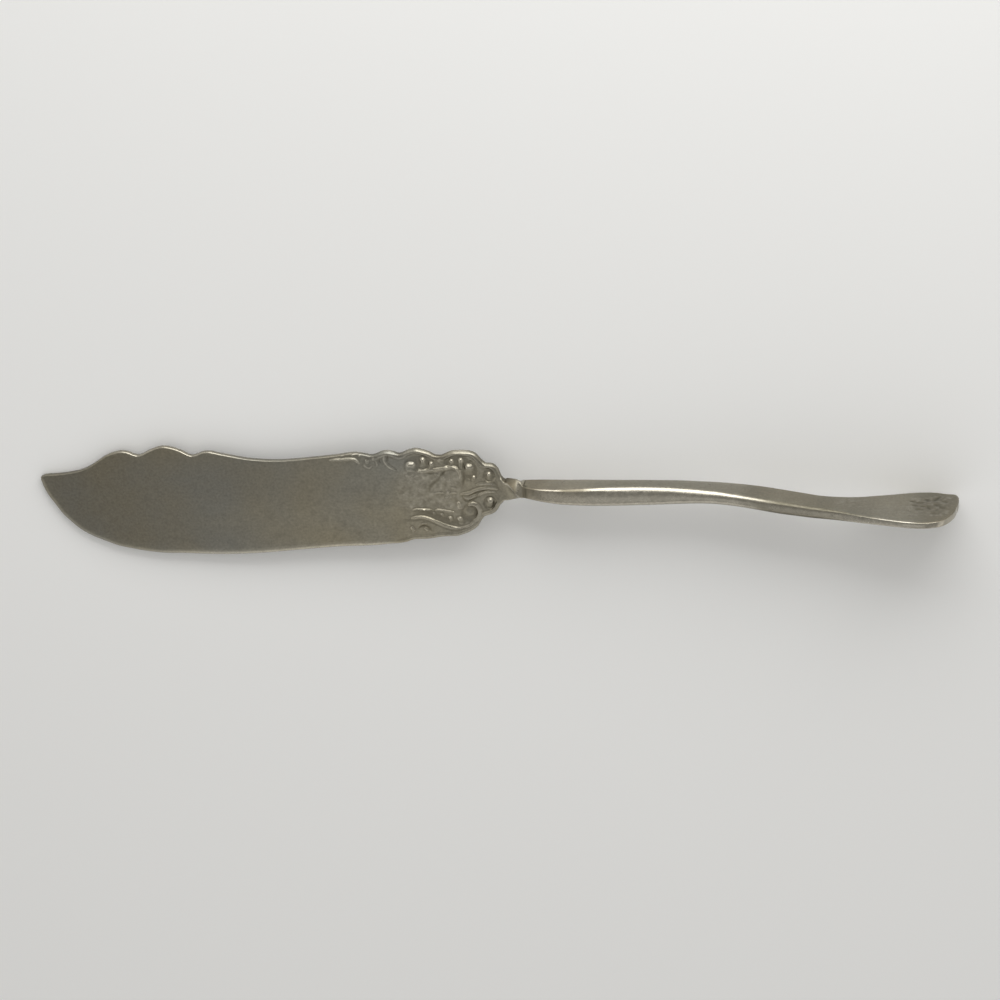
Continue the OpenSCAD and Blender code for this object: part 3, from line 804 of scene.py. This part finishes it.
# Blade

def blade_trees():
    """Search trees of the back, with the blunt end of the tip, and of the cutting edge."""
    x = np.linspace(BLADE_TIP, 0, OUTLINE_POINTS)
    tip = np.linspace(EDGE[0][1], BACK[0][1], TIP_POINTS)
    back = tree_of(np.append(x, np.full(TIP_POINTS, BLADE_TIP)), np.append(curve(BACK, x), tip))
    return back, tree_of(x, curve(EDGE, x))


def add_relief(face, back_gap, edge_gap):
    """Works the shoulder's ground, rim, dishes, scrolls and drops into a face of the blade."""
    x = face.x
    ground = plateau(x, *GROUND_SPAN)
    field = ease(linear(LOWER_LIP[:FIELD_POINTS], x) - face.w, *FIELD_SLOPE) * (1 - ease(x, *FIELD_END))
    face.height += blend(GROUND, FIELD_TOP, field) * ground
    face.tarnish_and_shade = blend(face.tarnish_and_shade, GROUND_TARNISH, ground)
    face.polish_and_sheen = blend(face.polish_and_sheen, GROUND_POLISH, ground)
    for dish in DISHES:
        face.dish(*dish)
    for groove in GROOVES:
        face.groove(*groove)
    back_lobes = blend(RIM_SADDLE, 1, linear(RIM_LOBES, x))
    for gap, start, lobe in ((back_gap, RIM_START_BACK, back_lobes), (edge_gap, RIM_START_EDGE, 1)):
        reach = ease(x, *start) * (1 - ease(x, *RIM_END)) * lobe
        share = (1 - ease(gap, *RIM_SPAN)) * reach
        face.height = blend(face.height, RIM_TOP - RIM_ROUND * (gap - RIM_CREST) ** 2, share)
        beside = bell(gap, RIM_BAND, RIM_SPAN[1]) * reach * (1 - field)
        face.tarnish_and_shade = np.maximum(face.tarnish_and_shade * (1 - share), RIM_TARNISH * beside)
        face.polish_and_sheen = np.maximum(face.polish_and_sheen, RIM_POLISH * share * bell(gap, RIM_BAND, RIM_CREST))
    face.stipple(*SHOULDER_DOTS)
    steps = ((face.boss, BOSSES), (face.ridge, RIDGES), (face.drop, DROPS), (face.groove, LINES))
    for work, rows in steps:
        for row in rows:
            work(*row)


def blade_border(x):
    """Rounding of the blade's border, and shares of the ground bevel, the shoulder and its saddles."""
    shoulder = plateau(x, *SHOULDER_RISE, *SHOULDER_END)
    saddle = shoulder * (1 - linear(RIM_LOBES, x))
    return linear(BORDER_ROUND, x), 1 - ease(x, *BEVEL_FADE), shoulder, saddle


def shape_blade(face, back_gap, edge_gap):
    """Gives a face of the blade its half thickness, its rounded back and its ground edge."""
    x = face.x
    corner, bevel, shoulder, saddle = blade_border(x)
    side = plateau(face.w, *SWELL_LOWER, *SWELL_UPPER)
    swell = ease(x, *SHOULDER_SWELL) * np.where(x < NECK_START, side, 1)
    half = blend(FLAT, curve(NECK_HALF, np.clip(x, NECK_START, 0)), swell)
    ground_edge = (FLAT - EDGE_HALF) * np.clip(1 - edge_gap / BEVEL, 0, 1) ** 2
    ground_edge += rounded(edge_gap, EDGE_ROUND)
    drop_edge = blend(rounded(edge_gap, corner), ground_edge, bevel)
    power = blend(2, SHOULDER_POWER, shoulder - saddle)
    drop_back = rounded(back_gap, corner * (1 - SADDLE_THIN * saddle), power)
    face.height += half - np.maximum(drop_back, drop_edge)


def wear_blade(face, back_gap, edge_gap):
    """Polishes the worn borders of a face of the blade and, with painted light, the end of its neck;
    darkens its neck and joint; and paints shade into its saddles and along its back near the tip.
    """
    x = face.x
    corner, bevel, _, saddle = blade_border(x)
    near = np.minimum(back_gap, edge_gap)
    neck = ease(x, *NECK_RISE)
    wall = neck * bell(near, WALL_BAND) * (1 - ease(x, *WALL_FADE))
    worn_back = bell(back_gap + SADDLE_SHIFT * saddle, WORN_BAND) * linear(BACK_WORN, x)
    worn_edge = bell(edge_gap, blend(WORN_BAND, EDGE_BAND, bevel)) * linear(EDGE_WORN, x)
    worn = blend(np.maximum(worn_back, worn_edge), bell(near / corner, *NECK_ARRIS), neck)
    smudge = BLADE_SMUDGE * bell(x, SMUDGE_LENGTH) * smudge_share(face.w)
    # painted light: the end of the neck is polished and made lighter
    face.polish_and_sheen += blend(*NECK_POLISH_AND_LIGHT, ease(x, *NECK_END)) * neck
    face.polish_and_sheen = np.maximum(face.polish_and_sheen, worn) * (1 - wall) * (1 - smudge)
    # painted shade in the saddles and along the back near the tip
    shaded_saddle = SADDLE_SHADE * saddle * (1 - ease(back_gap, *SADDLE_SPAN))
    shaded_tip_back = TIP_BACK_SHADE * bell(back_gap, TIP_BACK_BAND) * (1 - ease(x, *TIP_BACK))
    dark_neck = NECK_TARNISH * neck * (1 - worn)
    face.tarnish_and_shade = np.maximum.reduce([face.tarnish_and_shade, shaded_saddle, WALL_TARNISH * wall])
    face.tarnish_and_shade = np.maximum.reduce([face.tarnish_and_shade * (1 - WORN_CLEAN * worn), dark_neck, smudge, shaded_tip_back])


def blade_face(zone, w, trees):
    """One face of the blade in a zone."""
    face = Face(zone.x, w)
    gaps = [gap_to(tree, face) for tree in trees]
    face.polish_and_sheen += BLADE_POLISH
    # tarnish with painted shade, darker toward the tip
    face.tarnish_and_shade = TIP_TARNISH_AND_SHADE * (1 - ease(face.x, *TIP_FADE))
    face.tarnish_and_shade += UPPER_TARNISH * ease(face.w, *UPPER_RISE) * plateau(face.x, *UPPER_SPAN)
    if zone.x[-1] > RELIEF_START and zone.x[0] < NECK_START:
        add_relief(face, *gaps)
    shape_blade(face, *gaps)
    wear_blade(face, *gaps)
    return face


def smudge_share(toward_front):
    """Tarnish around the joint, which is darkest on the side of the blade's front face."""
    return blend(*SMUDGE_SHARE, ease(toward_front, *SMUDGE_RISE))


def neck_place(x, w, h):
    """Turns the neck's sections a quarter turn between the blade and the handle."""
    share = np.clip((x - TURN_SPAN[0]) / (TURN_SPAN[1] - TURN_SPAN[0]), 0, 1)
    turn = math.pi / 2 * share ** TURN_POWER
    return np.column_stack([x, w * np.cos(turn) - h * np.sin(turn), w * np.sin(turn) + h * np.cos(turn)])


def blade_zones():
    """Plain blade, shoulder and neck, each with its own density."""
    crowded = np.linspace(0, 1, PLAIN_RINGS[0], endpoint=False) ** TIP_CROWDING
    plain = np.concatenate([BLADE_TIP + (SCALLOPS[0] - BLADE_TIP) * crowded,
                            np.linspace(*SCALLOPS, PLAIN_RINGS[1], endpoint=False),
                            np.linspace(SCALLOPS[1], RELIEF_START, PLAIN_RINGS[2])])
    rise = np.linspace(RELIEF_START + ZONE_STEP, FINE_START, RELIEF_RINGS[0], endpoint=False)
    shoulder = np.append(rise, np.linspace(FINE_START, NECK_START - SEAM_STEP, RELIEF_RINGS[1]))
    neck = np.linspace(NECK_START, -FILM - SEAM_STEP, NECK_RINGS)
    plan = ((plain, PLAIN_COUNTS, BEVEL), (shoulder, RELIEF_COUNTS, SHOULDER_ROUND),
            (neck, NECK_COUNTS, NECK_END_ROUND))
    return [Zone(x, curve(EDGE, x), curve(BACK, x), counts, border) for x, counts, border in plan]


def make_blade():
    trees = blade_trees()
    rings = []
    for zone in blade_zones():
        rings += zone.rings(neck_place, blade_face(zone, zone.front, trees),
                            blade_face(zone, zone.rear, trees))
    rings.append(shrunk_ring(rings[-1], SEAM_INSET, -FILM, NECK_END_TARNISH))
    rings.append(round_ring(rings[-1], TANG_RADIUS, -FILM, 1))
    rings.append(round_ring(rings[-1], TANG_RADIUS, TANG_LENGTH, 1))
    return ring_mesh("silver_blade", rings), rings[-3]


# Handle

def handle_half(x, start=END_START, power=END_POWER):
    """Half width of the handle, closing in a flattened round at its end."""
    u = np.clip((x - start) / (HANDLE_LENGTH - start), 0, 1)
    return curve(HALF_WIDE, x) * np.maximum(END_NOSE, (1 - u ** power) ** (1 / power))


def handle_low(x):
    """Border of the handle away from the table, which is narrower and has a rounder end corner."""
    return -handle_half(x, FAR_START, FAR_POWER) * linear(FAR_SHARE, x)


def engrave(face):
    """Cuts the worn sprig into the handle's end, on a mottled tarnished patch."""
    patch = bell(face.x, SPRIG_PATCH, SPRIG_HEART[0]) * bell(face.w, SPRIG_PATCH, -SPRIG_HEART[1])
    face.tarnish_and_shade = np.maximum(face.tarnish_and_shade, PATCH_TARNISH * patch)
    face.stipple(*END_DOTS)
    face.stipple(*STEM_DOTS)
    for points, half, dark in SPRIG:
        face.groove([(x, -z) for x, z in points], half, SPRIG_DEPTH, dark)


def paint_lower_sheen_and_shade(face, gap, bend):
    """Polishes the stem's lower edge and paints it lighter, and paints shade on the underside before the
    flat end.
    """
    lower = face.w < 0
    # painted sheen: the stem's lower edge is polished and made lighter
    face.polish_and_sheen = np.maximum(face.polish_and_sheen, bend * lower * linear(LOWER_POLISH_AND_SHEEN, face.x))
    # painted shade: the underside before the flat end is darkened
    shade_band = plateau(face.x, *UNDERSIDE_SHADE_SPAN) * (1 - ease(gap, *UNDERSIDE_SHADE_WIDTH)) * lower
    shade_band *= blend(UNDERSIDE_SHADE_EDGE, 1, ease(gap, 0, UNDERSIDE_SHADE_INSET))
    face.tarnish_and_shade = np.maximum(face.tarnish_and_shade, UNDERSIDE_SHADE_DARKNESS * shade_band)
    face.polish_and_sheen *= 1 - shade_band


def wear_handle(face, gap, corner, full, front):
    """Polishes the worn edges and narrow sides of a wide face, adding painted sheen; darkens its joint;
    darkens its middle with tarnished patches and painted shade; and dulls its fuller edge with roughness
    and painted shade.
    """
    x = face.x
    worn = bell(gap, corner)
    bend = bell(gap / corner, *EDGE_BEND)
    smudge = bell(x, SMUDGE_LENGTH, SMUDGE_LENGTH) * smudge_share(-face.w)
    stem = (STEM_FRONT if front else STEM_REAR) * (1 - ease(x, *STEM_FADE))
    stem *= 1 - worn * ease(x, *DULL_START)
    # painted shade: the fuller edge is darkened and roughened where its highlight fades
    dull_and_shade = linear(EDGE_DULL_AND_SHADE, x) * bend * full * front
    face.tarnish_and_shade = np.maximum.reduce([face.tarnish_and_shade, smudge, stem, DULL_SHADE * dull_and_shade])
    # tarnish with painted shade: the wide face is darkened away from its worn edges
    face.tarnish_and_shade = blend(face.tarnish_and_shade, 1, linear(FACE_TARNISH_AND_SHADE, x) * (1 - worn) * front)
    # painted sheen: extra polish lightens the worn edges near the end
    face.polish_and_sheen = blend(face.polish_and_sheen, np.minimum(1, face.polish_and_sheen + linear(EDGE_POLISH_AND_SHEEN, x)), worn) * (1 - dull_and_shade)
    # painted sheen: the narrow sides are polished and made lighter
    face.polish_and_sheen = np.maximum(face.polish_and_sheen, bell(gap, SIDE_BAND) * linear(SIDE_POLISH_AND_SHEEN, x))
    if not front:
        paint_lower_sheen_and_shade(face, gap, bend)
    face.polish_and_sheen *= 1 - smudge


def handle_face(zone, w, tree, front):
    """One wide face of the handle in a zone. Its places run across from +Z to -Z."""
    face = Face(zone.x, w)
    gap = gap_to(tree, face)
    x = face.x
    face.polish_and_sheen = linear(SHINE, x)
    if front and zone.x[-1] > ENGRAVED_START:
        engrave(face)
    half = curve(HALF_THICK, x)
    full = (face.w < 0) == front
    corner = np.where(full, linear(FULL_CORNER, x), linear(SLIM_CORNER, x))
    corner = np.minimum(corner, MAX_CORNER * half)
    power = np.where(full, linear(FULL_POWER, x), 2)
    crown = linear(CROWN, x) * np.minimum(1, np.abs(face.w) / handle_half(x)) ** 2
    face.height += half - rounded(gap, corner, power) - crown
    wear_handle(face, gap, corner, full, front)
    return face


def handle_place(x, w, h):
    """Bows the handle sideways and slants its end."""
    slant = END_SLANT * ease(x, END_START - SLANT_LENGTH, HANDLE_LENGTH)
    return np.column_stack([x + slant * w, h + curve(BOW, x), -w])


def make_handle():
    x = np.linspace(0, HANDLE_LENGTH, OUTLINE_POINTS)
    low = handle_low(x)
    high = handle_half(x)
    nose = np.linspace(low[-1], high[-1], NOSE_POINTS)
    tree = tree_of(np.concatenate([x, x, np.full(NOSE_POINTS, HANDLE_LENGTH)]),
                   np.concatenate([low, high, nose]))
    stem = np.append(np.linspace(*JOINT_SPAN, STEM_RINGS[0], endpoint=False),
                     np.linspace(JOINT_SPAN[1], ENGRAVED_START, STEM_RINGS[1]))
    flat = np.linspace(ENGRAVED_START + ZONE_STEP, END_START, FLAT_RINGS[0], endpoint=False)
    crowded = np.linspace(1, 0, FLAT_RINGS[1]) ** 2
    end = np.append(flat, HANDLE_LENGTH - (HANDLE_LENGTH - END_START) * crowded)
    rings = []
    for stations, counts in ((stem, STEM_COUNTS), (end, FLAT_COUNTS)):
        border = linear(FULL_CORNER, stations)[:, None]
        zone = Zone(stations, handle_low(stations), handle_half(stations), counts, border)
        rings += zone.rings(handle_place, handle_face(zone, zone.front, tree, True),
                            handle_face(zone, zone.rear, tree, False))
    mouth = shrunk_ring(rings[0], SEAM_INSET, 0, MOUTH_TARNISH)
    socket = TANG_RADIUS + FILM
    return ring_mesh("silver_handle", [round_ring(mouth, socket, SOCKET_LENGTH, 1),
                                       round_ring(mouth, socket, 0, 1), mouth] + rings)


# Solder: a thin pad between the end faces and a sleeve around the tang

def make_solder(neck_end):
    socket = TANG_RADIUS + FILM
    pad = shrunk_ring(neck_end, 0, -FILM, SOLDER_TARNISH)
    bulge = shrunk_ring(neck_end, -SEAM_INSET, -FILM / 2, SOLDER_TARNISH)
    face = shrunk_ring(neck_end, 0, 0, SOLDER_TARNISH)
    rings = [round_ring(pad, TANG_RADIUS, -FILM, 1), pad, bulge, face, round_ring(pad, socket, 0, 1),
             round_ring(pad, socket, TANG_LENGTH, 1), round_ring(pad, TANG_RADIUS, TANG_LENGTH, 1)]
    return ring_mesh("solder_seam", rings, closed_loop=True)


# Materials

def feed(tree, node, inputs):
    """Links or sets the inputs of a node."""
    for key, value in inputs.items():
        if isinstance(value, bpy.types.NodeSocket):
            tree.links.new(value, node.inputs[key])
        else:
            node.inputs[key].default_value = value


def add(tree, kind, inputs=None, **settings):
    """Adds a node, sets it up and feeds it."""
    made = tree.nodes.new(kind)
    for name, value in settings.items():
        setattr(made, name, value)
    feed(tree, made, inputs or {})
    return made


def mix(tree, share, a, b):
    return add(tree, "ShaderNodeMix", {0: share, 6: a, 7: b}, data_type="RGBA").outputs[2]


def calc(tree, operation, a, b):
    return add(tree, "ShaderNodeMath", {0: a, 1: b}, operation=operation).outputs[0]


def remap(tree, *value_and_limits, **settings):
    return add(tree, "ShaderNodeMapRange", dict(enumerate(value_and_limits)), **settings).outputs[0]


def noise(tree, place, scale, detail, rough=0.55):
    wanted = {"Vector": place, "Scale": scale, "Detail": detail, "Roughness": rough}
    return add(tree, "ShaderNodeTexNoise", wanted).outputs[0]


def scratches(tree, place, turn, seed):
    """Fine straight scratches that run one way over a face."""
    wanted = {"Vector": place, "Location": (seed, seed, seed), "Rotation": turn, "Scale": SCRATCH_SCALE}
    spot = add(tree, "ShaderNodeMapping", wanted).outputs[0]
    return remap(tree, noise(tree, spot, 1.0, 2.0, 0.5), *SCRATCH_SPREAD)


def new_material(name):
    material = bpy.data.materials.new(name)
    material.use_nodes = True
    tree = material.node_tree
    return material, tree, tree.nodes["Principled BSDF"]


def worn_silver(name, look, scratch_turns):
    """Satin silver plate: cloudy tones, dark tarnished recesses, bright worn edges and fine scratches; the
    dark tone also paints shade and the bright tone also paints sheen.
    """
    warm, cool, bright, patina_and_shade, rough = look
    material, tree, shader = new_material(name)
    place = add(tree, "ShaderNodeTexCoord").outputs["Object"]
    tarnish_and_shade, polish_and_sheen = (add(tree, "ShaderNodeAttribute", attribute_name=field).outputs["Fac"]
                       for field in ("tarnish_and_shade", "polish_and_sheen"))
    clouds = remap(tree, noise(tree, place, CLOUD_SCALE, 2), *CLOUD_SPREAD)
    mottle = noise(tree, place, MOTTLE_SCALE, 5, 0.65)
    grain = noise(tree, place, GRAIN_SCALE, 2)
    speckle = noise(tree, place, SPECKLE_SCALE, 2)
    spots = remap(tree, noise(tree, place, SPOT_SCALE, 4, 0.6), *SPOT_SPREAD)
    tone = mix(tree, clouds, warm, cool)
    dark = calc(tree, "MULTIPLY", tarnish_and_shade, remap(tree, mottle, *PATINA_SPREAD))
    spots = calc(tree, "MULTIPLY", spots, remap(tree, polish_and_sheen, *SPOT_WORN))
    dark = calc(tree, "MAXIMUM", dark, spots)
    tone = mix(tree, calc(tree, "MINIMUM", dark, 1.0), tone, patina_and_shade)
    tone = mix(tree, remap(tree, polish_and_sheen, *BRIGHT_SPREAD), tone, bright)
    shade = remap(tree, mottle, *MOTTLE_SHADE)
    shade = calc(tree, "MULTIPLY", shade, remap(tree, speckle, *SPECKLE_SHADE))
    tone = add(tree, "ShaderNodeVectorMath", {0: tone, 3: shade}, operation="SCALE").outputs[0]
    lines = scratches(tree, place, scratch_turns[0], 0.0)
    for k, turn in enumerate(scratch_turns[1:], 1):
        lines = calc(tree, "MAXIMUM", lines, scratches(tree, place, turn, SCRATCH_SEED * k))
    matte = remap(tree, polish_and_sheen, 0, 1, *rough)
    matte = calc(tree, "ADD", matte, remap(tree, mottle, *MOTTLE_MATTE))
    matte = calc(tree, "ADD", matte, calc(tree, "MULTIPLY", lines, SCRATCH_MATTE))
    relief = calc(tree, "ADD", grain, calc(tree, "MULTIPLY", lines, SCRATCH_RELIEF))
    bumps = {"Strength": BUMP_STRENGTH, "Distance": BUMP_HEIGHT, "Height": relief}
    bump = add(tree, "ShaderNodeBump", bumps).outputs[0]
    feed(tree, shader, {"Base Color": tone, "Roughness": matte, "Normal": bump, "Metallic": 1.0})
    return material


def floor_material():
    material, tree, shader = new_material("pale_floor")
    place = add(tree, "ShaderNodeTexCoord").outputs["Object"]
    tone = mix(tree, noise(tree, place, 3, 2), *FLOOR_TONES)
    feed(tree, shader, {"Base Color": tone, "Roughness": 0.7, "Specular IOR Level": 0.2})
    return material


# Stage

def make_floor():
    mesh = bpy.data.meshes.new("floor")
    corners = [(x * FLOOR_HALF, y * FLOOR_HALF, 0) for x, y in ((-1, -1), (1, -1), (1, 1), (-1, 1))]
    mesh.from_pydata(corners, [], [(0, 1, 2, 3)])
    mesh.materials.append(floor_material())
    floor = put("floor", mesh)


def soft_lamp(name, place, aim, size, level):
    """Area lamp, turned toward a point. Its level is its radiance."""
    lamp = bpy.data.lights.new(name, "AREA")
    lamp.shape = "RECTANGLE"
    lamp.size, lamp.size_y = size
    lamp.energy = level * math.pi * size[0] * size[1]
    made = put(name, lamp)
    made.location = place
    made.rotation_euler = (Vector(place) - Vector(aim)).to_track_quat("Z", "Y").to_euler()


def make_lights():
    """A dome that is dim overhead, a soft strip, and a weak soft box above."""
    world = bpy.data.worlds.new("studio")
    bpy.context.scene.world = world
    world.use_nodes = True
    tree = world.node_tree
    way = add(tree, "ShaderNodeTexCoord").outputs["Generated"]
    height = add(tree, "ShaderNodeSeparateXYZ", {0: way}).outputs["Z"]
    level = remap(tree, height, *DOME_HEIGHTS, *DOME_LEVELS, interpolation_type="SMOOTHSTEP")
    feed(tree, tree.nodes["Background"], {"Color": DOME_COLOUR, "Strength": level})
    soft_lamp("key_strip", place=(0.08, 0.4, 0.185), aim=(0, 0, 0), size=(0.48, 0.24), level=3.6)
    soft_lamp("overhead", place=(-0.06, -0.21, 0.44), aim=(-0.04, 0, 0), size=(0.25, 0.2), level=0.3)


def make_camera():
    """Camera at the photograph's angle, with the knife at its place in the picture."""
    tilt = math.radians(TILT)
    swing = math.radians(SWING)
    right = np.array([math.cos(swing), -math.sin(swing) * math.sin(tilt),
                      -math.sin(swing) * math.cos(tilt)])
    up = np.array([0, math.cos(tilt), -math.sin(tilt)])
    back = np.cross(right, up)
    points = np.concatenate([cad_points(node) for node in frame["nodes"]])
    target = (np.array(cad_box[0]) + np.array(cad_box[1])) / 2
    for _ in range(3):
        near = DISTANCE / (DISTANCE - (points - target) @ back)
        seen = np.column_stack([(points - target) @ right * near, (points - target) @ up * near])
        offset = (seen.min(0) + seen.max(0)) / 2
        target = target + right * offset[0] + up * offset[1]
    target = target - up * (IMAGE_PIXELS / 2 - MIDDLE_ROW) * FRAME_WIDTH / IMAGE_PIXELS
    data = bpy.data.cameras.new("camera")
    data.sensor_width = SENSOR
    data.lens = SENSOR * DISTANCE / FRAME_WIDTH
    data.clip_start = 0.01
    camera = put("camera", data)
    turn = Matrix((right, up, back)).transposed().to_4x4()
    camera.matrix_world = Matrix.Translation(Vector(target + back * DISTANCE)) @ turn
    bpy.context.scene.camera = camera


def dress(piece, node, material):
    piece.data.materials.append(material)
    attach(piece, "root")
    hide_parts(node)


knife_turn, knife_origin = find_knife_frame()
make_camera()
make_floor()
make_lights()

blade_turns = [(0, 0, math.radians(a)) for a in BLADE_SCRATCHES]
handle_turns = [(math.radians(90), math.radians(a), 0) for a in HANDLE_SCRATCHES]
blade_silver = worn_silver("blade_silver", BLADE_LOOK, blade_turns)
handle_silver = worn_silver("handle_silver", HANDLE_LOOK, handle_turns)
solder = worn_silver("tarnished_solder", SOLDER_LOOK, blade_turns[:2])

blade, neck_end = make_blade()
dress(blade, "blade", blade_silver)
dress(make_handle(), "handle", handle_silver)
dress(make_solder(neck_end), "solder_joint", solder)

bpy.context.scene.view_settings.view_transform = "Standard"
